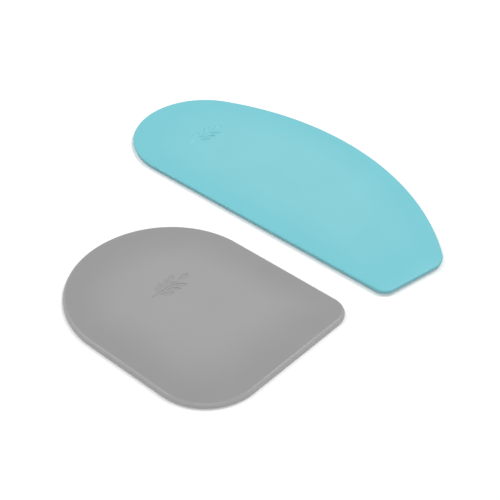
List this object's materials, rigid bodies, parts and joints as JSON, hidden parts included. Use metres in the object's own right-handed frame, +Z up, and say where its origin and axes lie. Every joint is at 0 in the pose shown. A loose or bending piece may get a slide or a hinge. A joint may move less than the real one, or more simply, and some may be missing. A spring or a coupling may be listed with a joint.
{
  "type": "bowl scraper set",
  "caption": "Flat silicone bowl scrapers, a D-shaped and a half-oval, each moulded round a stiff perforated plate with a soft lip for wiping dough from bowls and boards.",
  "frame": {"origin": "on the table, under the middle of the ground that both scrapers cover together", "axes": "+X along the straight edges towards the square ends, +Y from the small scraper to the large one, +Z up from the table"},
  "size_m": [0.196, 0.1987, 0.0031],
  "materials": {
    "grey_silicone": "satin moulded silicone",
    "teal_silicone": "satin moulded silicone",
    "core_nylon": "moulded nylon"
  },
  "bodies": {
    "large_scraper": {"large_scraper_blade": "teal_silicone", "large_scraper_core": "core_nylon"},
    "small_scraper": {"small_scraper_blade": "grey_silicone", "small_scraper_core": "core_nylon"}
  },
  "joints": [
    {"name": "small_scraper_lift", "type": "slide", "parent": "large_scraper", "child": "small_scraper", "axis": [0, 0, 1], "range_m": [0, 0.1]}
  ]
}
